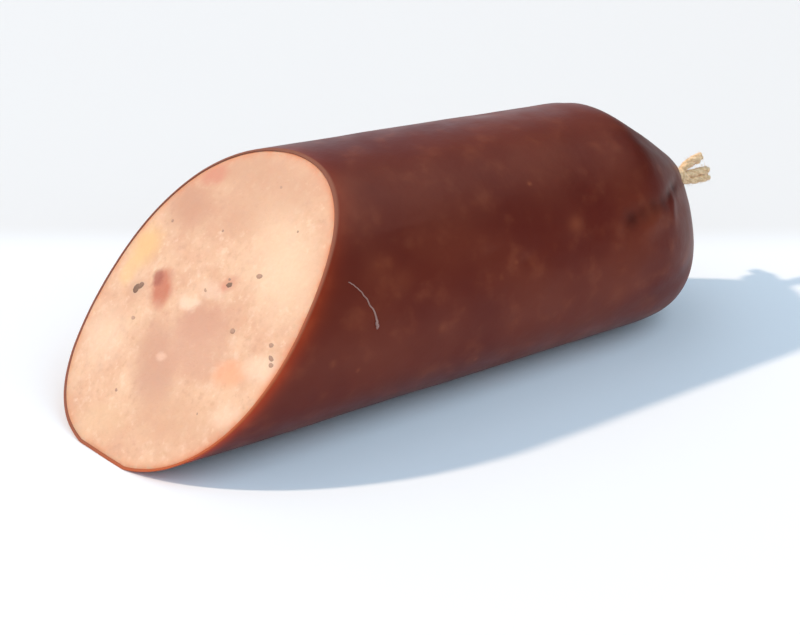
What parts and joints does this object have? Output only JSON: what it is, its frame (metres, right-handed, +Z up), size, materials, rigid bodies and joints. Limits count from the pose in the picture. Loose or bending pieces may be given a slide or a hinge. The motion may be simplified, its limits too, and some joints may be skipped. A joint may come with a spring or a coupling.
{
  "type": "cured sausage end piece",
  "caption": "Tied end of a smoked cured sausage, sliced on the slant to show its meat, in a brown casing gathered and tied with twine; lies on its side.",
  "frame": {"origin": "middle of the whole piece's box, on the surface that it rests on", "axes": "+X along the sausage towards the tied end, the sliced face looks towards -X and up, +Z up"},
  "size_m": [0.2096, 0.07, 0.0675],
  "materials": {
    "meat": "moist, fine-cut pale pink cooked meat with small dark flecks and lean pieces",
    "casing": "smoked red-brown fibrous casing, semi-gloss, slightly translucent",
    "twine": "twisted straw-coloured plant-fibre twine, dry and hairy"
  },
  "bodies": {
    "root": {"meat_filling": "meat", "casing": "casing", "twine_tie": "twine"}
  },
  "joints": []
}
